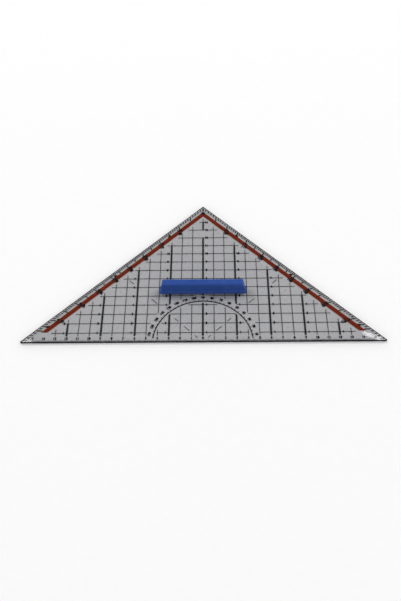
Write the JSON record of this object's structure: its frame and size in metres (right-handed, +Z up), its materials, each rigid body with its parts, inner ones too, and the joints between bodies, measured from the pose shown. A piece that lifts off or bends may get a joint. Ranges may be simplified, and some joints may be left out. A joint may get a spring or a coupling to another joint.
{
  "type": "set square",
  "caption": "Clear right-angled drawing set square with millimetre and degree scales printed on its underside and a pull-off moulded grip.",
  "frame": {"origin": "zero mark of the long edge, on the printed underside of the plate", "axes": "+X along the long edge, to the right as the numbers are read; +Y square to it, to the right-angled corner; +Z up through the plate to the grip"},
  "size_m": [0.3192, 0.1599, 0.0162],
  "materials": {
    "clear_plate": "clear moulded acrylic, polished faces",
    "blue_grip": "blue moulded styrene, fine satin",
    "black_ink": "black screen-print ink",
    "orange_ink": "rust orange screen-print ink"
  },
  "bodies": {
    "square": {"plate": "clear_plate", "long_edge_scale": "black_ink", "degree_scale": "black_ink", "angle_pointers": "black_ink", "angle_band": "orange_ink", "protractor_arc": "black_ink", "centimetre_grid": "black_ink", "diagonal_dashes": "black_ink"},
    "grip": {"grip": "blue_grip"}
  },
  "joints": [
    {"name": "grip_pull_off", "type": "slide", "parent": "square", "child": "grip", "axis": [0, 0, 1], "range_m": [0, 0.02]}
  ]
}
